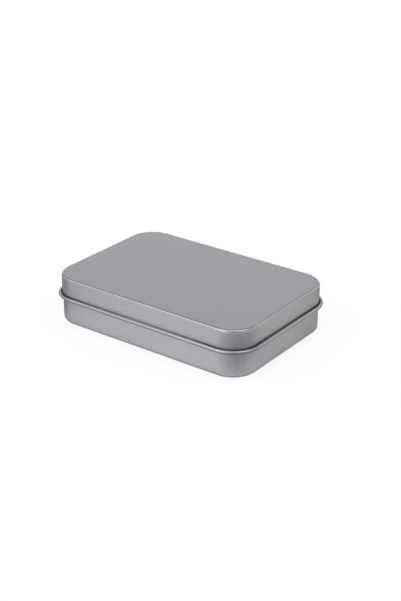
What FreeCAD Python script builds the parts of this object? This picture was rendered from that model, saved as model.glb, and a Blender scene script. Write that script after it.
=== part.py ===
import FreeCAD, Part
import math
import os
from FreeCAD import Vector

# A shut tin box with a hinged lid, in millimetres.
# X runs along the box and Y across it, with the hinge on the +Y side. Z is up from the
# surface that the box stands on, and the origin is at the middle of the underside.

# Whole box
lid_length = 85.2         # over the lid's walls, without the curl
lid_width = 57.2
total_height = 18.4
corner_radius = 9.85      # of the lid's upright corners, outside
sheet = 0.23              # tinplate thickness

# Lid
lid_depth = 8.58          # from the top down to the underside of the curl
lid_edge_radius = 0.85    # where the top turns down into the wall, outside
curl_radius = 0.56        # of the rolled edge, to the middle of the sheet
curl_run = 0.28           # flat stretch under the curl
curl_lip = 0.3            # flat stretch that ends in the cut edge, clear of the wall

# Base
base_clearance = 0.06     # between the base's wall and the lid's
base_edge_radius = 1.3    # where the wall turns under
panel_rim = 4.0           # from the base's wall to the raised panel underneath
panel_recess = 0.4        # how far that panel stands off the surface
panel_slope = 0.5         # width of the sloping step up to it

# Hinge: two tabs of the base come out through slots in the lid and wrap the curl
hinge_count = 2
hinge_spacing = 44.0      # between the tabs' middles
tab_width = 8.4
tab_clearance = 0.1       # between a tab and the curl that it wraps
tab_wrap = 95.0           # degrees that a tab goes on below the level of the curl's middle
tab_root = 0.5            # how deep a tab is held in the base
slot_side_clearance = 0.35
slot_lower_clearance = 0.12
slot_upper_clearance = 1.2
slot_corner_radius = 0.3
notch_depth = 1.0         # of the gap that a tab leaves in the base's wall
notch_side_clearance = 0.25

# Worked out from the values above
base_inset = sheet + base_clearance
base_length = lid_length - 2 * base_inset
base_width = lid_width - 2 * base_inset
base_corner_radius = corner_radius - base_inset
base_top = total_height - sheet
curl_outer_radius = curl_radius + sheet / 2
curl_height = total_height - lid_depth + curl_outer_radius
tab_bend_radius = curl_outer_radius + tab_clearance + sheet / 2
tab_height = curl_height + tab_bend_radius
upright = Vector(0, 0, 1)
cutter_margin = 0.2       # how far a cutting tool passes the face it cuts


def pointing(degrees):
    """Unit vector in the XZ plane, turned up from +X."""
    angle = math.radians(degrees)
    return Vector(math.cos(angle), 0, math.sin(angle))


def bent_sheet(start, heading, steps):
    """Cross-section of the sheet, bent in the XZ plane.

    start and heading are the middle of the sheet and its direction in degrees. A step of
    ("run", length) goes straight on, and ("bend", radius, turn) turns left by that angle,
    or right if it is negative, on a radius that is measured to the middle of the sheet.
    """
    sides = {+1: [], -1: []}
    ends = []
    spot = start
    for step in steps:
        across = pointing(heading + 90)
        if step[0] == "run":
            finish = spot + pointing(heading) * step[1]
            for side, edges in sides.items():
                shift = across * (side * sheet / 2)
                edges.append(Part.LineSegment(spot + shift, finish + shift).toShape())
        else:
            radius, turn = step[1:]
            hand = math.copysign(1, turn)
            centre = spot + across * (hand * radius)
            for side, edges in sides.items():
                reach = side * sheet / 2 - hand * radius
                on_arc = [
                    centre + pointing(heading + 90 + turn * part) * reach
                    for part in (0, 0.5, 1)
                ]
                edges.append(Part.Arc(*on_arc).toShape())
            heading += turn
            finish = centre - pointing(heading + 90) * (hand * radius)
        spot = finish
    for edge_index, vertex_index in ((0, 0), (-1, -1)):
        corners = [edges[edge_index].Vertexes[vertex_index].Point for edges in sides.values()]
        ends.append(Part.LineSegment(*corners).toShape())
    outline = Part.Wire(Part.__sortEdges__(sides[+1] + sides[-1] + ends))
    return Part.Face(outline)


def carried_round(section):
    """Takes a cross-section once round the lid, over its four sides and corners.

    The section stands in the XZ plane, with X measured outwards from the lid's wall.
    """
    half_length = lid_length / 2 - corner_radius
    half_width = lid_width / 2 - corner_radius
    pieces = []
    for quarter in range(4):
        odd = quarter % 2 == 1
        reach, side = (half_width, half_length) if odd else (half_length, half_width)
        begin = section.translated(Vector(reach + corner_radius, -side, 0))
        straight = begin.extrude(Vector(0, 2 * side, 0))
        end = begin.translated(Vector(0, 2 * side, 0))
        corner = end.revolve(Vector(reach, side, 0), upright, 90)
        for piece in (straight, corner):
            pieces.append(piece.rotated(Vector(), upright, 90 * quarter))
    return pieces[0].multiFuse(pieces[1:])


def edges_at(shape, height):
    """Level edges at one height."""
    slack = 1e-4
    boxes = [(edge, edge.BoundBox) for edge in shape.Edges]
    return [
        edge for edge, box in boxes if box.ZLength < slack and abs(box.ZMin - height) < slack
    ]


def rounded_outline(length, width, radius, height):
    """Level rectangle with rounded corners, centred on the Z axis."""
    edges = []
    for quarter in range(4):
        across, along = (length, width) if quarter % 2 == 0 else (width, length)
        side = Part.LineSegment(
            Vector(across / 2, radius - along / 2, height),
            Vector(across / 2, along / 2 - radius, height),
        )
        centre = Vector(across / 2 - radius, along / 2 - radius, height)
        corner = Part.Arc(Part.Circle(centre, upright, radius), 0, math.pi / 2)
        for curve in (side, corner):
            edges.append(curve.toShape().rotated(Vector(), upright, 90 * quarter))
    return Part.Wire(edges)


def rounded_block(length, width, radius, low, high):
    """Upright block with rounded upright corners, centred on the Z axis."""
    foot = Part.Face(rounded_outline(length, width, radius, low))
    return foot.extrude(Vector(0, 0, high - low))


def hinge_places():
    """Middle of each hinge tab along X."""
    first = -hinge_spacing * (hinge_count - 1) / 2
    return [first + hinge_spacing * number for number in range(hinge_count)]


def rear_box(middle, width, inner, outer, low, high):
    """Box at the rear wall. inner and outer are measured in Y from the lid's wall."""
    corner = Vector(middle - width / 2, lid_width / 2 + inner, low)
    return Part.makeBox(width, outer - inner, high - low, corner)


def hinge_slot(middle):
    """Cutter for the slot in the lid that one tab comes out of."""
    low = tab_height - sheet / 2 - slot_lower_clearance
    high = tab_height + sheet / 2 + slot_upper_clearance
    width = tab_width + 2 * slot_side_clearance
    slot = rear_box(middle, width, -sheet - cutter_margin, cutter_margin, low, high)
    across = [edge for edge in slot.Edges if edge.BoundBox.YLength > sheet]
    return slot.makeFillet(slot_corner_radius, across)


def hinge_tab(middle):
    """Tab that leaves the base level, above the curl, and bends down round it."""
    curl_middle = curl_radius + curl_run - sheet / 2
    start = Vector(-base_inset - tab_root, 0, tab_height)
    section = bent_sheet(
        start,
        0,
        [
            ("run", curl_middle - start.x),
            ("bend", tab_bend_radius, -90 - tab_wrap),
        ],
    )
    section = section.translated(Vector(lid_width / 2, 0, 0)).rotated(Vector(), upright, 90)
    tab = section.extrude(Vector(tab_width, 0, 0))
    return tab.translated(Vector(middle - tab_width / 2, 0, 0))


def wall_notch(middle):
    """Cutter for the gap in the base's wall above one tab."""
    low = tab_height + sheet / 2
    width = tab_width + 2 * notch_side_clearance
    inner = -base_inset - notch_depth
    return rear_box(middle, width, inner, -base_inset + cutter_margin, low, total_height)


def panel_space():
    """Space under the raised panel, between the surface and the panel."""
    levels = []
    for inset, height in ((panel_rim, 0), (panel_rim + panel_slope, panel_recess)):
        length, width = base_length - 2 * inset, base_width - 2 * inset
        levels.append(rounded_outline(length, width, base_corner_radius - inset, height))
    return Part.makeLoft(levels, True, True)


def make_lid():
    """Pressed cap of sheet with a curled edge and the two hinge slots."""
    outside = rounded_block(lid_length, lid_width, corner_radius, curl_height, total_height)
    outside = outside.makeFillet(lid_edge_radius, edges_at(outside, total_height))
    inside_top = total_height - sheet
    inside = rounded_block(
        lid_length - 2 * sheet,
        lid_width - 2 * sheet,
        corner_radius - sheet,
        curl_height - cutter_margin,
        inside_top,
    )
    inside = inside.makeFillet(lid_edge_radius - sheet, edges_at(inside, inside_top))
    curl = bent_sheet(
        Vector(-sheet / 2, 0, curl_height),
        -90,
        [
            ("bend", curl_radius, 90),
            ("run", curl_run),
            ("bend", curl_radius, 180),
            ("run", curl_lip),
        ],
    )
    lid = outside.cut(inside).fuse(carried_round(curl)).removeSplitter()
    for middle in hinge_places():
        lid = lid.cut(hinge_slot(middle))
    return lid


def make_base():
    """Closed base, solid inside, with its raised panel underneath and its hinge tabs."""
    base = rounded_block(base_length, base_width, base_corner_radius, 0, base_top)
    base = base.makeFillet(base_edge_radius, edges_at(base, 0))
    base = base.makeChamfer(lid_edge_radius - sheet, edges_at(base, base_top))
    base = base.cut(panel_space())
    for middle in hinge_places():
        base = base.cut(wall_notch(middle)).fuse(hinge_tab(middle))
    return base.removeSplitter()


def as_one_solid(shape):
    """The single solid that a run of cuts and joins leaves."""
    if len(shape.Solids) != 1 or not shape.isValid():
        raise ValueError("expected one sound solid, found %d" % len(shape.Solids))
    return shape.Solids[0]


os.makedirs("parts", exist_ok=True)
for node, shape in (("lid", make_lid()), ("base", make_base())):
    solid = as_one_solid(shape)
    solid.exportStep("parts/" + node + ".step")
    box = solid.optimalBoundingBox()
    size = "%.2f x %.2f x %.2f mm" % (box.XLength, box.YLength, box.ZLength)
    print("%s: %s, %.1f mm3, %d faces" % (node, size, solid.Volume, len(solid.Faces)))
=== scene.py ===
import math

import bmesh
import bpy
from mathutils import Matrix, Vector
from mathutils.bvhtree import BVHTree
from mathutils.interpolate import poly_3d_calc


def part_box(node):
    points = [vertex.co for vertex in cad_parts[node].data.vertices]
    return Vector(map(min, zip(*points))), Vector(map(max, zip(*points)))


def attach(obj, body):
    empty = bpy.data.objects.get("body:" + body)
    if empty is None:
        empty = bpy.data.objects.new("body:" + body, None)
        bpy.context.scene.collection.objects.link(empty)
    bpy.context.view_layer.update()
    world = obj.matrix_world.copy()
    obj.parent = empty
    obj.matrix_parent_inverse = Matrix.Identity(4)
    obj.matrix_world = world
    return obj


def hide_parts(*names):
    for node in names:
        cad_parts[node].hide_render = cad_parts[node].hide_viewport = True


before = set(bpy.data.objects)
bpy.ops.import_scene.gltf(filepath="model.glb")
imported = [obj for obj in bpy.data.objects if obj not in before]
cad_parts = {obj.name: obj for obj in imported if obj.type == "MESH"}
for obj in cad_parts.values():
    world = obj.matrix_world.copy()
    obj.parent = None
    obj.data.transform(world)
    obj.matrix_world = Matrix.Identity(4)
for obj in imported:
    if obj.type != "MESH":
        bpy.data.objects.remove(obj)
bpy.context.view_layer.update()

mm = 0.001
lidLow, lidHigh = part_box("lid")
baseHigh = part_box("base")[1]
sheet = 0.23 * mm

meshSteps = {
    "cornerSteps": 24,           # of the path, for each quarter turn
    "sideCuts": 39,
    "arcDegrees": 9.0,           # of a bend in a profile
    "lidTopParts": 5,            # flat stretches of a profile are drawn in parts
    "lidWallParts": 5,
    "panelParts": 2,
    "rimParts": 2,
    "baseWallParts": 7,
    "besideBend": 0.2 * mm,      # short stretch that keeps a bend's finish to itself
    "mergeDistance": 0.002 * mm,
    "cutterMargin": 0.2 * mm,
    "cutterSteps": 6,            # for each quarter turn
    "sharpDegrees": 40,          # edges past this are shaded as real corners
    "wornDegrees": 50,           # and a tab's edges past this are worn round
    "wornSegments": 2,
}
print("frame loaded, lid from", round(lidLow.z / mm, 2), "to", round(lidHigh.z / mm, 2), "mm up")


class Wire:
    # a node's output that takes part in sums; each sum adds a Math node

    def __init__(self, bench, socket):
        self.bench = bench
        self.socket = socket

    def out(self, name):
        return Wire(self.bench, self.socket.node.outputs[name])

    def reckon(self, operation, *values):
        return self.bench.add("ShaderNodeMath", {"operation": operation}, dict(enumerate(values)))

    def __add__(self, other):
        return self.reckon("ADD", self, other)

    def __radd__(self, other):
        return self.reckon("ADD", other, self)

    def __sub__(self, other):
        return self.reckon("SUBTRACT", self, other)

    def __rsub__(self, other):
        return self.reckon("SUBTRACT", other, self)

    def __mul__(self, other):
        return self.reckon("MULTIPLY", self, other)

    def __rmul__(self, other):
        return self.reckon("MULTIPLY", other, self)

    def __truediv__(self, other):
        return self.reckon("DIVIDE", self, other)

    def __rtruediv__(self, other):
        return self.reckon("DIVIDE", other, self)

    def __pow__(self, other):
        return self.reckon("POWER", self, other)

    def __abs__(self):
        return self.reckon("ABSOLUTE", self)

    def atLeast(self, other):
        return self.reckon("MAXIMUM", self, other)

    def atMost(self, other):
        return self.reckon("MINIMUM", self, other)

    def above(self, other):
        return self.reckon("GREATER_THAN", self, other)

    def between(self, low, high):
        # 0 at low and 1 at high, smooth and clamped
        settings = {"interpolation_type": "SMOOTHSTEP"}
        inputs = {"Value": self, "From Min": low, "From Max": high}
        return self.bench.add("ShaderNodeMapRange", settings, inputs)


class Bench:
    # adds nodes to one tree

    def __init__(self, tree):
        self.tree = tree
        tree.nodes.clear()

    def add(self, kind, settings=None, inputs=None, output=None):
        node = self.tree.nodes.new(kind)
        for name, value in (settings or {}).items():
            setattr(node, name, value)
        for name, value in (inputs or {}).items():
            socket = self.findInput(node, name)
            for item in value if isinstance(value, list) else [value]:
                if isinstance(item, Wire):
                    self.tree.links.new(item.socket, socket)
                else:
                    socket.default_value = item
        if not node.outputs:
            return node
        shown = [socket for socket in node.outputs if socket.enabled]
        return Wire(self, node.outputs[output] if output else shown[0])

    def findInput(self, node, name):
        if isinstance(name, int):
            return [socket for socket in node.inputs if socket.enabled][name]
        return next(s for s in node.inputs if s.name == name and s.enabled)

    def vector(self, operation, *values, output=None):
        settings = {"operation": operation}
        return self.add("ShaderNodeVectorMath", settings, dict(enumerate(values)), output)

    def split(self, vector):
        parts = self.add("ShaderNodeSeparateXYZ", inputs={0: vector})
        return parts.out("X"), parts.out("Y"), parts.out("Z")

    def combine(self, x=0.0, y=0.0, z=0.0):
        return self.add("ShaderNodeCombineXYZ", inputs={0: x, 1: y, 2: z})

    def capture(self, geometry, **fields):
        node = self.tree.nodes.new("GeometryNodeCaptureAttribute")
        node.domain = "POINT"
        self.tree.links.new(geometry.socket, node.inputs["Geometry"])
        wires = [Wire(self, node.outputs["Geometry"])]
        for name, field in fields.items():
            kind = "VECTOR" if field.socket.type == "VECTOR" else "FLOAT"
            node.capture_items.new(kind, name)
            self.tree.links.new(field.socket, node.inputs[name])
            wires.append(Wire(self, node.outputs[name]))
        return wires

    def store(self, geometry, name, value):
        kind = "FLOAT_VECTOR" if value.socket.type == "VECTOR" else "FLOAT"
        return self.add(
            "GeometryNodeStoreNamedAttribute",
            {"data_type": kind, "domain": "POINT"},
            {"Geometry": geometry, "Name": name, "Value": value},
        )


socketKinds = {
    float: "NodeSocketFloat",
    int: "NodeSocketInt",
    bpy.types.Object: "NodeSocketObject",
    bpy.types.Material: "NodeSocketMaterial",
    Vector: "NodeSocketVector",
}


def geometryTree(name, inputs):
    # a tree with named inputs; inputs gives each one's kind
    tree = bpy.data.node_groups.new(name, "GeometryNodeTree")
    for inputName, kind in inputs.items():
        tree.interface.new_socket(inputName, in_out="INPUT", socket_type=socketKinds[kind])
    tree.interface.new_socket("Geometry", in_out="OUTPUT", socket_type="NodeSocketGeometry")
    bench = Bench(tree)
    first = bench.add("NodeGroupInput")
    wires = {inputName: first.out(inputName) for inputName in inputs}
    return tree, bench, wires


def finishTree(bench, geometry, material):
    whole = bench.add("GeometryNodeRealizeInstances", inputs={"Geometry": geometry})
    whole = bench.add("GeometryNodeSetMaterial", inputs={"Geometry": whole, "Material": material})
    bench.add("NodeGroupOutput", inputs={"Geometry": whole})


def placeObject(name, data):
    thing = bpy.data.objects.new(name, data)
    bpy.context.scene.collection.objects.link(thing)
    return thing


def grow(name, tree, values):
    # runs a tree with these inputs and keeps its result as a plain mesh
    seedling = placeObject(name + "Seed", bpy.data.meshes.new(name + "Seed"))
    modifier = seedling.modifiers.new("grow", "NODES")
    modifier.node_group = tree
    for item in tree.interface.items_tree:
        if item.in_out == "INPUT":
            modifier[item.identifier] = values[item.name]
    mesh = meshOf(seedling, name)
    bpy.data.objects.remove(seedling)
    tidyMesh(mesh)
    return placeObject(name, mesh)


def meshOf(thing, name):
    graph = bpy.context.evaluated_depsgraph_get()
    graph.update()
    mesh = bpy.data.meshes.new_from_object(thing.evaluated_get(graph), depsgraph=graph)
    mesh.name = name
    return mesh


def tidyMesh(mesh):
    # closed seams, faces outwards, smooth but for real corners
    work = bmesh.new()
    work.from_mesh(mesh)
    bmesh.ops.remove_doubles(work, verts=work.verts, dist=meshSteps["mergeDistance"])
    bmesh.ops.recalc_face_normals(work, faces=work.faces)
    work.to_mesh(mesh)
    work.free()
    mesh.shade_smooth()
    mesh.set_sharp_from_angle(angle=math.radians(meshSteps["sharpDegrees"]))


def pointing(degrees):
    return Vector((math.cos(math.radians(degrees)), math.sin(math.radians(degrees)), 0))


def bentLine(start, heading, steps, offset=0.0):
    # Points of a line of runs and bends, shifted to its left; a left turn is positive.
    # Each point's third number is how much it is bent, which a run may set for its end.
    spot = Vector((*start, 0))
    points = [spot + pointing(heading + 90) * offset]
    for kind, *sizes in steps:
        if kind == "run":
            length, bent = (*sizes, 0)[:2]
            spot = spot + pointing(heading) * length
            points.append(spot + pointing(heading + 90) * offset + Vector((0, 0, bent)))
            continue
        radius, turn = sizes
        hand = math.copysign(1, turn)
        centre = spot + pointing(heading + 90) * hand * radius
        parts = max(2, round(abs(turn) / meshSteps["arcDegrees"]))
        for part in range(1, parts + 1):
            across = pointing(heading + turn * part / parts + 90)
            points.append(centre + across * (offset - hand * radius) + Vector((0, 0, 1)))
        heading += turn
        spot = centre - pointing(heading + 90) * hand * radius
    return points


def flat(length, parts):
    # a run in parts, with short ones next to the bends at its ends
    beside = ("run", meshSteps["besideBend"])
    return [beside] + [("run", (length - 2 * beside[1]) / parts)] * parts + [beside]


def curveFrom(name, points, marked=()):
    # a point's radius carries its bend and its tilt a mark, for the tree to read
    curve = bpy.data.curves.new(name, "CURVE")
    curve.dimensions = "3D"
    spline = curve.splines.new("POLY")
    spline.points.add(len(points) - 1)
    for number, (place, point) in enumerate(zip(spline.points, points)):
        place.co = (point.x, point.y, 0, 1)
        place.radius = point.z
        place.tilt = 1.0 if number in marked else 0.0
    return placeObject(name, curve)


def drawnSheetTree():
    # sweeps a profile round a rounded rectangle and closes the middle at both of its ends
    tree, bench, given = geometryTree("drawnSheet", {
        "Half Size": Vector,
        "Corner Radius": float,
        "Corner Steps": int,
        "Side Cuts": int,
        "Profile": bpy.types.Object,
        "First Height": float,
        "Last Height": float,
        "Lip More Long": float,
        "Lip More Short": float,
        "Lip Power": float,
        "Full Height": float,
        "Unevenness": float,
        "Noise Scale": float,
        "Noise Seed": float,
        "Material": bpy.types.Material,
    })
    halfX, halfY, unused = bench.split(given["Half Size"])
    radius = given["Corner Radius"]
    outline = bench.add(
        "GeometryNodeCurvePrimitiveQuadrilateral",
        inputs={"Width": halfX * 2, "Height": halfY * 2},
    )
    outline = bench.add(
        "GeometryNodeFilletCurve",
        {"mode": "POLY"},
        {"Curve": outline, "Count": given["Corner Steps"], "Radius": radius},
    )
    # The last point of each corner starts a straight side, which takes the cuts.
    # The quarter keeps a rounding error from counting.
    number = bench.add("GeometryNodeInputIndex") + 0.25
    perCorner = given["Corner Steps"] + 1
    place = number.reckon("MODULO", number, perCorner)
    outline = bench.add(
        "GeometryNodeSubdivideCurve",
        inputs={"Curve": outline, "Cuts": place.above(perCorner - 1) * given["Side Cuts"]},
    )
    position = bench.add("GeometryNodeInputPosition")
    outline, pathSpot = bench.capture(outline, pathSpot=position)
    profile = bench.add(
        "GeometryNodeObjectInfo", inputs={"Object": given["Profile"]}, output="Geometry"
    )
    profile, profileSpot, profileLength, bend, lip = bench.capture(
        profile,
        profileSpot=position,
        profileLength=bench.add("GeometryNodeSplineParameter", output="Length"),
        bend=bench.add("GeometryNodeInputRadius"),
        lip=bench.add("GeometryNodeInputCurveTilt"),
    )
    swept = bench.add(
        "GeometryNodeCurveToMesh",
        inputs={"Curve": outline, "Profile Curve": profile},
    )
    # square to the path all the way round, corners included
    coreX, coreY = halfX - radius, halfY - radius
    core = bench.combine(coreX, coreY)
    nearest = bench.vector("MINIMUM", pathSpot, core)
    nearest = bench.vector("MAXIMUM", nearest, bench.vector("MULTIPLY", core, (-1, -1, -1)))
    outward = bench.vector("NORMALIZE", bench.vector("SUBTRACT", pathSpot, nearest))
    # the lip of the curl lies closest to the wall at the middle of each side
    nearX, nearY, unused = bench.split(nearest)
    towardsCorner = (abs(nearX) / coreX).atMost(abs(nearY) / coreY)
    onLongSide = abs(bench.split(outward)[1])
    moreLong, moreShort = given["Lip More Long"], given["Lip More Short"]
    more = moreShort + onLongSide * (moreLong - moreShort)
    reach, rise, unused = bench.split(profileSpot)
    reach = reach + radius - lip * more * (1 - towardsCorner ** given["Lip Power"])
    rim = bench.vector("MULTIPLY_ADD", outward, bench.combine(reach, reach), nearest)
    swept = bench.add("GeometryNodeSetPosition", inputs={
        "Geometry": swept,
        "Position": bench.vector("ADD", rim, bench.combine(z=rise)),
    })
    # where each point lay in the flat blank, for the grain
    blank = bench.combine(profileLength, profileLength)
    blank = bench.vector("MULTIPLY_ADD", outward, blank, nearest)
    swept = bench.store(swept, "blank", blank)
    swept = bench.store(swept, "bend", bend)
    pieces = [swept]
    for height in (given["First Height"], given["Last Height"]):
        middle = bench.add("GeometryNodeMeshGrid", inputs={
            "Size X": coreX * 2,
            "Size Y": coreY * 2,
            "Vertices X": given["Side Cuts"] + 2,
            "Vertices Y": given["Side Cuts"] + 2,
        }, output="Mesh")
        middle = bench.store(middle, "blank", position)
        pieces.append(bench.add(
            "GeometryNodeTransform",
            inputs={"Geometry": middle, "Translation": bench.combine(z=height)},
        ))
    whole = bench.add("GeometryNodeJoinGeometry", inputs={"Geometry": pieces[::-1]})
    noise = bench.add("ShaderNodeTexNoise", {"noise_dimensions": "4D"}, {
        "Vector": position,
        "W": given["Noise Seed"],
        "Scale": given["Noise Scale"],
        "Detail": 1.0,
    }, "Color")
    # the foot stays level
    amount = given["Unevenness"]
    upShare = bench.split(position)[2] / given["Full Height"]
    wander = bench.vector("SUBTRACT", noise, (0.5, 0.5, 0.5))
    wander = bench.vector("MULTIPLY", wander, bench.combine(amount, amount, amount * upShare))
    whole = bench.add("GeometryNodeSetPosition", inputs={"Geometry": whole, "Offset": wander})
    finishTree(bench, whole, given["Material"])
    return tree


unevenness = {
    "amount": 0.05 * mm,         # how far the pressed sheet wanders
    "spare": 0.0125 * mm,        # room left for that inside the CAD box
    "perMetre": 32.0,            # of its noise
    "seed": 4.0,
}
lidSizes = {
    "cornerRadius": 9.85 * mm,   # outside, of the upright corners
    "edgeRadius": 0.85 * mm,     # where the top turns down
    "curlRadius": 0.56 * mm,     # to the middle of the sheet
    "curlRun": 0.28 * mm,        # flat stretch under the curl
    "curlTurn": 180,             # degrees from there to the lip
    "curlLip": 0.16 * mm,        # straight end of the sheet, at the corners
    "lipMoreLong": 0.44 * mm,    # how much longer it is at a long side's middle
    "lipMoreShort": 0.18 * mm,
    "lipPower": 3.0,             # high keeps it long until close to the corners
}

curlReach = 2 * lidSizes["curlRadius"] + lidSizes["curlRun"] + unevenness["spare"]
wallHalf = Vector((lidHigh.x - curlReach, lidHigh.y - curlReach, 0))
curlHeight = lidLow.z + lidSizes["curlRadius"] + sheet / 2
curlMiddle = lidSizes["curlRadius"] + lidSizes["curlRun"] - sheet / 2
topHeight = lidHigh.z - unevenness["spare"]
print("wall half size", [round(v / mm, 2) for v in wallHalf])


def drawSheet(name, tree, half, radius, points, material, marked=()):
    profile = curveFrom(name + "Profile", points, marked)
    piece = grow(name, tree, {
        "Half Size": half,
        "Corner Radius": radius,
        "Corner Steps": meshSteps["cornerSteps"],
        "Side Cuts": meshSteps["sideCuts"],
        "Profile": profile,
        "First Height": points[0].y,
        "Last Height": points[-1].y,
        "Lip More Long": lidSizes["lipMoreLong"],
        "Lip More Short": lidSizes["lipMoreShort"],
        "Lip Power": lidSizes["lipPower"],
        "Full Height": topHeight,
        "Unevenness": unevenness["amount"],
        "Noise Scale": unevenness["perMetre"],
        "Noise Seed": unevenness["seed"],
        "Material": material,
    })
    bpy.data.objects.remove(profile)
    return piece


def lidProfile():
    # both faces of the sheet, from the middle of the top out, down and round the curl
    radius = lidSizes["cornerRadius"]
    edge = lidSizes["edgeRadius"]
    steps = [
        *flat(radius - edge, meshSteps["lidTopParts"]),
        ("bend", edge - sheet / 2, -90),
        *flat(topHeight - edge - curlHeight, meshSteps["lidWallParts"]),
        ("bend", lidSizes["curlRadius"], 90),
        ("run", lidSizes["curlRun"], 1),
        ("bend", lidSizes["curlRadius"], lidSizes["curlTurn"]),
        ("run", lidSizes["curlLip"], 1),
    ]
    start = (-radius, topHeight - sheet / 2)
    outside = bentLine(start, 0, steps, sheet / 2)
    inside = bentLine(start, 0, steps, -sheet / 2)
    lipEnd = len(outside)
    return outside + inside[::-1], (lipEnd - 1, lipEnd)


baseSizes = {
    "edgeRadius": 1.3 * mm,
    "panelRim": 4.0 * mm,        # flat rim underneath, from the wall in
    "panelStep": 0.5 * mm,       # width of the slope up to the panel
    "panelRecess": 0.4 * mm,
    "panelBend": 0.35 * mm,      # radius at the foot and head of that slope
}
baseInset = wallHalf.x - baseHigh.x


def baseProfile(radius):
    # from the middle of the underside, out and up the wall, and back under the lid's top
    size = baseSizes
    slope = math.degrees(math.atan2(size["panelRecess"], size["panelStep"]))
    bendRun = size["panelBend"] * math.tan(math.radians(slope / 2))
    slopeLength = math.hypot(size["panelStep"], size["panelRecess"]) - 2 * bendRun
    edge = size["edgeRadius"]
    topEdge = lidSizes["edgeRadius"] - sheet
    inner = radius - size["panelRim"] - size["panelStep"] - bendRun
    return bentLine((-radius, size["panelRecess"]), 0, [
        *flat(inner, meshSteps["panelParts"]),
        ("bend", size["panelBend"], -slope),
        ("run", slopeLength, 1),
        ("bend", size["panelBend"], slope),
        *flat(size["panelRim"] - edge - bendRun, meshSteps["rimParts"]),
        ("bend", edge, 90),
        *flat(baseHigh.z - edge - topEdge, meshSteps["baseWallParts"]),
        ("bend", topEdge, 90),
        ("run", radius - topEdge),
    ])


hingeSizes = {
    "count": 2,
    "spacing": 44.0 * mm,        # between the tabs' middles
    "width": 8.4 * mm,
    "clearance": 0.1 * mm,       # between a tab and the curl that it wraps
    "wrap": 95,                  # degrees below the level of the curl's middle
    "root": 0.5 * mm,            # length inside the base's wall
    "cornerRadius": 0.5 * mm,    # of a tab's own corners
    "cornerSteps": 6,
    "edgeWear": 0.04 * mm,
    "burnish": 0.6,              # of the tabs, from 0 to 1
    "slotSide": 0.35 * mm,       # room round a tab in the lid's slot
    "slotBelow": 0.12 * mm,
    "slotAbove": 1.2 * mm,
    "slotCorner": 0.3 * mm,
    "notchDepth": 1.0 * mm,      # hollow in the base behind that slot
    "notchSide": 0.25 * mm,
}


def hingePlaces():
    first = -hingeSizes["spacing"] * (hingeSizes["count"] - 1) / 2
    return [first + hingeSizes["spacing"] * number for number in range(hingeSizes["count"])]


def hingeTab(bendRadius, tabHeight):
    # one bent strip about the middle of X, its free corners rounded
    size = hingeSizes
    lastTurn = math.degrees(size["cornerRadius"] / bendRadius)
    start = (-baseInset - size["root"], tabHeight)
    steps = [
        ("run", curlMiddle - start[0]),
        ("bend", bendRadius, lastTurn - 90 - size["wrap"]),
    ]
    steps += [("bend", bendRadius, -lastTurn / size["cornerSteps"])] * size["cornerSteps"]
    faces = [bentLine(start, 0, steps, side * sheet / 2) for side in (1, -1)]
    middles = [(a + b) / 2 for a, b in zip(*faces)]
    along = [0.0]
    for before, after in zip(middles, middles[1:]):
        along.append(along[-1] + (after.xy - before.xy).length)
    work = bmesh.new()
    alongLayer = work.verts.layers.float.new("along")
    rings = []
    for upper, lower, distance in zip(*faces, along):
        lost = max(0.0, size["cornerRadius"] - (along[-1] - distance))
        left = math.sqrt(max(0.0, size["cornerRadius"] ** 2 - lost ** 2))
        halfWidth = size["width"] / 2 - size["cornerRadius"] + left
        corners = ((upper, -1), (upper, 1), (lower, 1), (lower, -1))
        ring = [
            work.verts.new((side * halfWidth, wallHalf.y + point.x, point.y))
            for point, side in corners
        ]
        for vert in ring:
            vert[alongLayer] = distance
        rings.append(ring)
    for first, second in zip(rings, rings[1:]):
        for corner in range(4):
            after = (corner + 1) % 4
            work.faces.new((first[corner], first[after], second[after], second[corner]))
    work.faces.new(rings[0])
    work.faces.new(rings[-1][::-1])
    bmesh.ops.recalc_face_normals(work, faces=work.faces)
    worn = math.radians(meshSteps["wornDegrees"])
    bmesh.ops.bevel(
        work,
        geom=[edge for edge in work.edges if edge.calc_face_angle() > worn],
        offset=size["edgeWear"],
        segments=meshSteps["wornSegments"],
        profile=0.5,
        affect="EDGES",
    )
    mesh = bpy.data.meshes.new("tab")
    work.to_mesh(mesh)
    work.free()
    return placeObject("tab", mesh)


def hingeTabsTree():
    # the same tab at even spaces along X
    tree, bench, given = geometryTree("hingeTabs", {
        "Tab": bpy.types.Object,
        "Count": int,
        "First Place": Vector,
        "Spacing": float,
        "Burnish": float,
        "Material": bpy.types.Material,
    })
    places = bench.add("GeometryNodeMeshLine", inputs={
        "Count": given["Count"],
        "Start Location": given["First Place"],
        "Offset": bench.combine(x=given["Spacing"]),
    })
    tab = bench.add("GeometryNodeObjectInfo", inputs={"Object": given["Tab"]}, output="Geometry")
    tabs = bench.add("GeometryNodeInstanceOnPoints", inputs={"Points": places, "Instance": tab})
    tabs = bench.add("GeometryNodeRealizeInstances", inputs={"Geometry": tabs})
    across = bench.split(bench.add("GeometryNodeInputPosition"))[0]
    along = bench.add(
        "GeometryNodeInputNamedAttribute", {"data_type": "FLOAT"}, {"Name": "along"}, "Attribute"
    )
    tabs = bench.store(tabs, "blank", bench.combine(across, along))
    tabs = bench.store(tabs, "bend", given["Burnish"])
    finishTree(bench, tabs, given["Material"])
    return tree


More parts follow.
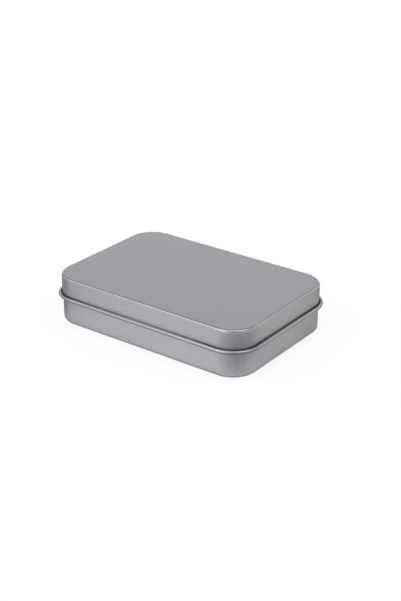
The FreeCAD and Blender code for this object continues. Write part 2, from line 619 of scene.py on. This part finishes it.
def roundedCutter(width, radius, low, high, inner, outer):
    # one prism along Y for each tab; inner and outer are measured from the lid's wall
    steps = meshSteps["cutterSteps"]
    work = bmesh.new()
    for middle in hingePlaces():
        outline = []
        for corner in range(4):
            across, along = pointing(90 * (corner + 0.5)).xy
            centreX = middle + math.copysign(width / 2 - radius, across)
            centreZ = (low + high) / 2 + math.copysign((high - low) / 2 - radius, along)
            for part in range(steps + 1):
                spot = pointing(90 * (corner + part / steps)) * radius
                outline.append((centreX + spot.x, centreZ + spot.y))
        rings = []
        for depth in (inner, outer):
            rings.append([work.verts.new((x, wallHalf.y + depth, z)) for x, z in outline])
        work.faces.new(rings[0])
        work.faces.new(rings[1][::-1])
        for number in range(len(outline)):
            after = (number + 1) % len(outline)
            near, far = rings
            work.faces.new((near[after], near[number], far[number], far[after]))
    bmesh.ops.recalc_face_normals(work, faces=work.faces)
    mesh = bpy.data.meshes.new("cutter")
    work.to_mesh(mesh)
    work.free()
    return placeObject("cutter", mesh)


def cutAway(piece, cutter):
    # a Boolean cut; the cut mesh takes its blank and bend values from the uncut one
    uncut = piece.data
    cut = piece.modifiers.new("cut", "BOOLEAN")
    cut.operation = "DIFFERENCE"
    cut.solver = "EXACT"
    cut.object = cutter
    mesh = meshOf(piece, piece.name)
    piece.modifiers.remove(cut)
    bpy.data.objects.remove(cutter)
    tidyMesh(mesh)
    surface = BVHTree.FromPolygons(
        [vert.co for vert in uncut.vertices], [face.vertices for face in uncut.polygons]
    )
    oldBlank, oldBend = uncut.attributes["blank"].data, uncut.attributes["bend"].data
    for name, kind in (("blank", "FLOAT_VECTOR"), ("bend", "FLOAT")):
        if name in mesh.attributes:
            mesh.attributes.remove(mesh.attributes[name])
        mesh.attributes.new(name, kind, "POINT")
    blank, bend = mesh.attributes["blank"].data, mesh.attributes["bend"].data
    for vert in mesh.vertices:
        spot, unused, faceIndex, unused = surface.find_nearest(vert.co)
        corners = uncut.polygons[faceIndex].vertices
        shares = poly_3d_calc([uncut.vertices[corner].co for corner in corners], spot)
        near = list(zip(corners, shares))
        blankParts = [oldBlank[corner].vector * share for corner, share in near]
        blank[vert.index].vector = sum(blankParts, Vector())
        bend[vert.index].value = sum(oldBend[corner].value * share for corner, share in near)
    piece.data = mesh
    bpy.data.meshes.remove(uncut)


lidFinish = {
    "dark": (0.33, 0.3195, 0.347, 1),
    "light": (0.51, 0.495, 0.537, 1),
    "seed": 1.3,
    "noises": {                  # size, detail, and a shift that sets it off from the others
        "mottle": (1.0 * mm, 2.5, 0.0),
        "grain": (0.35 * mm, 2.0, 7.4),  # its size is across the rolling direction
        "clouds": (18.0 * mm, 2.0, 3.1),
        "stipple": (0.14 * mm, 1.0, 5.2),
        "drawn": (1.0, 1.0, 9.0),        # its size is in steps of drawAngle
    },
    "noiseRoughness": 0.6,
    "grainLength": 8.0,          # times that, along it
    "drawAngle": 0.045,          # radians between the fine lines round a corner
    "drawFade": (0.2 * mm, 3.0 * mm),   # where they come in, from either end of the corner
    "drawStart": (1.0, 1.25),    # and outwards, times the corner's radius
    "drawShifts": (31, 57),      # set each corner's lines off from the others'
    "shades": {                  # how far each pattern goes from dark to light
        "mottle": 1.04,
        "grain": 0.76,
        "clouds": 0.32,
        "drawn": 0.6,
    },
    "roughness": 0.42,
    "roughnessVaries": {"mottle": 0.12, "clouds": 0.06},
    "bendRoughness": 0.2,        # the bends are burnished by the press
    "wear": 0.8,                 # how far they are
    "wearVaries": {"clouds": 0.8},
    "relief": {"mottle": 0.5, "grain": 0.35, "stipple": 0.25, "drawn": 0.9},
    "reliefStrength": 0.6,
    "reliefDepth": 0.05 * mm,
    "reliefLost": 0.8,           # share of it that a bend smooths away
    "underRim": (curlHeight - 0.12 * mm, curlHeight + 0.24 * mm),
    "underRimPaintedShade": 0.6,         # painted shade under the rim: how much darker the colour is there
}
baseFinish = {**lidFinish, "seed": 7.7, "underRimPaintedShade": 0.0}


def tinplate(name, finish, coreHalf, cornerRadius):
    # matt rolled tinplate; its pattern lies in the flat blank and follows every bend
    material = bpy.data.materials.new(name)
    material.use_nodes = True
    bench = Bench(material.node_tree)
    blank = bench.add("ShaderNodeAttribute", {"attribute_name": "blank"}, output="Vector")
    bend = bench.add("ShaderNodeAttribute", {"attribute_name": "bend"}, output="Fac")
    blankX, blankY, unused = bench.split(blank)

    def noise(pattern, vector=blank):
        size, detail, shift = finish["noises"][pattern]
        shown = bench.add("ShaderNodeTexNoise", {"noise_dimensions": "4D"}, {
            "Vector": vector,
            "W": finish["seed"] + shift,
            "Scale": 1 / size,
            "Detail": detail,
            "Roughness": finish["noiseRoughness"],
        }, "Fac")
        return shown - 0.5

    def varied(start, shares):
        for pattern, share in shares.items():
            start = start + patterns[pattern] * share
        return start

    # fine lines down the wall where the corners were drawn
    cornerX = (abs(blankX) - coreHalf[0]).atLeast(0.0)
    cornerY = (abs(blankY) - coreHalf[1]).atLeast(0.0)
    turn = cornerX.reckon("ARCTAN2", cornerY, cornerX + 0.001 * mm)
    shiftX, shiftY = finish["drawShifts"]
    turned = bench.combine(
        turn / finish["drawAngle"], blankX.above(0) * shiftX, blankY.above(0) * shiftY
    )
    inCorner = cornerX.between(*finish["drawFade"]) * cornerY.between(*finish["drawFade"])
    outwardReach = (cornerX ** 2 + cornerY ** 2) ** 0.5
    onWall = (outwardReach / cornerRadius).between(*finish["drawStart"])
    patterns = {
        "mottle": noise("mottle"),
        "grain": noise("grain", bench.combine(blankX / finish["grainLength"], blankY)),
        "clouds": noise("clouds"),
        "stipple": noise("stipple"),
        "drawn": noise("drawn", turned) * inCorner * onWall,
    }
    colour = bench.add(
        "ShaderNodeMix",
        {"data_type": "RGBA"},
        {"Factor": varied(0.5, finish["shades"]), "A": finish["dark"], "B": finish["light"]},
        "Result",
    )
    height = bench.split(bench.add("ShaderNodeTexCoord", output="Object"))[2]
    # painted shade: the colour is darkened in the band just under the rim
    bright = 1 - (1 - height.between(*finish["underRim"])) * finish["underRimPaintedShade"]
    worn = bend * varied(finish["wear"], finish["wearVaries"])
    smoother = worn * (finish["bendRoughness"] - finish["roughness"])
    relief = varied(0.0, finish["relief"]) * (1 - bend * finish["reliefLost"])
    bump = bench.add("ShaderNodeBump", inputs={
        "Strength": finish["reliefStrength"],
        "Distance": finish["reliefDepth"],
        "Height": relief,
    })
    shader = bench.add("ShaderNodeBsdfPrincipled", inputs={
        "Base Color": bench.vector("SCALE", colour, bright),
        "Metallic": 1.0,
        "Roughness": varied(finish["roughness"], finish["roughnessVaries"]) + smoother,
        "Normal": bump,
    })
    bench.add("ShaderNodeOutputMaterial", inputs={"Surface": shader})
    return material


lidRadius = lidSizes["cornerRadius"]
baseRadius = lidRadius - baseInset
baseHalf = wallHalf - Vector((baseInset, baseInset, 0))
core = wallHalf - Vector((lidRadius, lidRadius, 0))
lidMetal = tinplate("lidTinplate", lidFinish, core, lidRadius)
baseMetal = tinplate("baseTinplate", baseFinish, core, lidRadius)
print("materials made")

tabBend = lidSizes["curlRadius"] + sheet + hingeSizes["clearance"]
tabHeight = curlHeight + tabBend
sheetTree = drawnSheetTree()
points, lipPoints = lidProfile()
lid = drawSheet("tinLid", sheetTree, wallHalf, lidRadius, points, lidMetal, lipPoints)
cutAway(lid, roundedCutter(
    hingeSizes["width"] + 2 * hingeSizes["slotSide"],
    hingeSizes["slotCorner"],
    tabHeight - sheet / 2 - hingeSizes["slotBelow"],
    tabHeight + sheet / 2 + hingeSizes["slotAbove"],
    -sheet - meshSteps["cutterMargin"],
    meshSteps["cutterMargin"],
))
print("lid drawn and slotted")

base = drawSheet("tinBase", sheetTree, baseHalf, baseRadius, baseProfile(baseRadius), baseMetal)
cutAway(base, roundedCutter(
    hingeSizes["width"] + 2 * hingeSizes["notchSide"],
    hingeSizes["slotCorner"],
    tabHeight + sheet / 2,
    topHeight,
    -baseInset - hingeSizes["notchDepth"],
    meshSteps["cutterMargin"],
))
print("base drawn and notched")

tab = hingeTab(tabBend, tabHeight)
tabs = grow("hingeTabs", hingeTabsTree(), {
    "Tab": tab,
    "Count": hingeSizes["count"],
    "First Place": Vector((hingePlaces()[0], 0, 0)),
    "Spacing": hingeSizes["spacing"],
    "Burnish": hingeSizes["burnish"],
    "Material": baseMetal,
})
bpy.data.objects.remove(tab)
print("hinge tabs bent")

for piece in (lid, base, tabs):
    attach(piece, "root")
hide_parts("lid")
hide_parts("base")
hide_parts("base")

studio = {
    "level": 0.66,               # of the plain surroundings
    "panels": [                  # azimuth from the front to the right, elevation, reach, strength
        (337, 38, 28, 1.22),     # softboxes, front left
        (305, 56, 30, 0.55),
        (5, 8, 26, 0.9),         # low light in front and on the left
        (290, 8, 34, 0.45),
        (82, 52, 30, 0.78),      # softbox, right
        (60, 84, 34, 0.74),      # overhead
        (157, 22, 26, 0.59),     # low light behind, on the right
        (217, 10, 34, 0.46),     # backdrop
        (217, 30, 20, 0.16),
        (217, 58, 20, -0.6),     # gaps above the backdrop
        (245, 38, 34, -0.27),
        (190, 32, 28, -0.26),
        (52, 6, 42, -0.5),       # dark end of the room
        (45, 14, 20, -0.25),
        (82, 8, 24, -0.2),
        (130, 8, 26, -0.08),
    ],
    "greenerSide": (143, 75, 20),   # azimuth, reach and how much of that is fully tinted
    "greener": (0.974, 1.0, 0.942),
    "floorHalf": 20.0,
    "floorColour": (0.95, 0.95, 0.95, 1),
    "floorGlow": 0.8,            # share of plain light where the floor is seen or reflected
    "floorShine": 1.04,          # of white, where it is seen
    "floorGleam": 1.139,         # how bright metal sees it
    "floorLeast": 0.1,           # and at the darkest
    "floorContact": (-0.5, (0.6, 2.2)),   # shade under the rim: strength, where it fades out
    # Other shades that the metal sees on the floor. Each has the azimuth of its place on the
    # floor, reach and strength, then the distances from the tin, in millimetres, over which
    # it comes in and over which it fades out.
    "floorShades": [
        (59, 47, -1.02, (8, 22), (30, 55)),
        (54, 15, -0.42, (1, 8), (8, 22)),
        (30, 30, 0.12, (0, 2), (8, 24)),
        (100, 45, -0.23, (0, 2), (8, 24)),
        (117, 35, -0.21, (8, 24), None),
        (130, 30, -0.25, (0, 2), (6, 18)),
        (154, 34, -0.62, (0, 2), None),
        (273, 44, -0.9, (0, 2), (8, 24)),
        (284, 40, -0.8, (8, 24), None),
        (290, 16, -0.25, (0, 2), (8, 24)),
    ],
}
view = {
    "azimuth": 36.67,
    "elevation": 25.18,
    "distance": 453.0 * mm,
    "lens": 72.9,
    "side": 3.97 * mm,
    "rise": 7.85 * mm,
    "clip": (0.01, 100.0),
}


def aim(azimuth, elevation):
    # direction from the middle of the scene; azimuth turns from -Y towards +X
    turn, lift = math.radians(azimuth), math.radians(elevation)
    return Vector((
        math.sin(turn) * math.cos(lift), -math.cos(turn) * math.cos(lift), math.sin(lift)
    ))


def tinted(bench, nearness):
    # white, but a shade greener at one side of the room
    reach, full = studio["greenerSide"][1:]
    share = nearness.between(math.cos(math.radians(reach)), math.cos(math.radians(full)))
    return bench.combine(*[1 - share * (1 - part) for part in studio["greener"]])


def makeFloor():
    mesh = bpy.data.meshes.new("floor")
    half = studio["floorHalf"]
    corners = [(-half, -half, 0), (half, -half, 0), (half, half, 0), (-half, half, 0)]
    mesh.from_pydata(corners, [], [(0, 1, 2, 3)])
    floor = placeObject("floor", mesh)
    material = bpy.data.materials.new("paleFloor")
    material.use_nodes = True
    bench = Bench(material.node_tree)
    path = bench.add("ShaderNodeLightPath")
    byCamera, byMetal = path.out("Is Camera Ray"), path.out("Is Glossy Ray")
    seen = byCamera.atLeast(byMetal)
    x, y, unused = bench.split(bench.add("ShaderNodeTexCoord", output="Object"))
    # millimetres out from the lid's wall, and the way round from the front to the right
    pastX, pastY = (abs(x) - core.x).atLeast(0.0), (abs(y) - core.y).atLeast(0.0)
    gap = ((pastX ** 2 + pastY ** 2) ** 0.5 - lidRadius) / mm
    azimuth = x.reckon("ARCTAN2", x, y * -1)
    strength, ends = studio["floorContact"]
    gleam = (1 - gap.between(*ends)) * strength + studio["floorGleam"]
    for middle, reach, strength, starts, ends in studio["floorShades"]:
        nearness = azimuth.reckon("COSINE", azimuth - math.radians(middle))
        shade = nearness.between(math.cos(math.radians(reach)), 1.0) * strength
        shade = shade * gap.between(*starts)
        if ends:
            shade = shade * (1 - gap.between(*ends))
        gleam = gleam + shade
    gleam = gleam.atLeast(studio["floorLeast"])
    brightness = byCamera * studio["floorShine"] + (1 - byCamera) * gleam
    diffuse = bench.add("ShaderNodeBsdfDiffuse", inputs={"Color": studio["floorColour"]})
    towardsTint = azimuth.reckon("COSINE", azimuth - math.radians(studio["greenerSide"][0]))
    colour = bench.vector("SCALE", tinted(bench, towardsTint * (1 - byCamera)), brightness)
    glow = bench.add("ShaderNodeEmission", inputs={"Color": colour})
    shown = bench.add(
        "ShaderNodeMixShader", inputs={0: seen * studio["floorGlow"], 1: diffuse, 2: glow}
    )
    # nothing there from below, so that the underside can be looked at
    below = bench.add("ShaderNodeNewGeometry", output="Backfacing")
    clear = bench.add("ShaderNodeBsdfTransparent")
    shown = bench.add("ShaderNodeMixShader", inputs={0: below, 1: shown, 2: clear})
    bench.add("ShaderNodeOutputMaterial", inputs={"Surface": shown})
    mesh.materials.append(material)


def makeWorld():
    # a pale room with soft panels of light in some directions
    world = bpy.data.worlds.new("studio")
    bpy.context.scene.world = world
    world.use_nodes = True
    bench = Bench(world.node_tree)
    towards = bench.add("ShaderNodeTexCoord", output="Generated")
    light = studio["level"]
    for azimuth, elevation, reach, strength in studio["panels"]:
        nearness = bench.vector("DOT_PRODUCT", towards, aim(azimuth, elevation), output="Value")
        light = light + nearness.between(math.cos(math.radians(reach)), 1.0) * strength
    seen = bench.add("ShaderNodeLightPath", output="Is Camera Ray")
    light = light * (1 - seen) + seen
    greener = aim(studio["greenerSide"][0], 0)
    towardsTint = bench.vector("DOT_PRODUCT", towards, greener, output="Value")
    colour = tinted(bench, towardsTint * (1 - seen))
    background = bench.add("ShaderNodeBackground", inputs={"Color": colour, "Strength": light})
    bench.add("ShaderNodeOutputWorld", inputs={"Surface": background})


def makeCamera():
    back = aim(view["azimuth"], view["elevation"])
    right = aim(view["azimuth"] + 90, 0)
    up = back.cross(right)
    data = bpy.data.cameras.new("camera")
    data.lens = view["lens"]
    data.clip_start, data.clip_end = view["clip"]
    camera = placeObject("camera", data)
    camera.location = back * view["distance"] + right * view["side"] + up * view["rise"]
    camera.rotation_mode = "QUATERNION"
    camera.rotation_quaternion = (-back).to_track_quat("-Z", "Y")
    bpy.context.scene.camera = camera


makeFloor()
makeWorld()
makeCamera()
bpy.context.scene.view_settings.view_transform = "Standard"
print("floor, light and camera made")
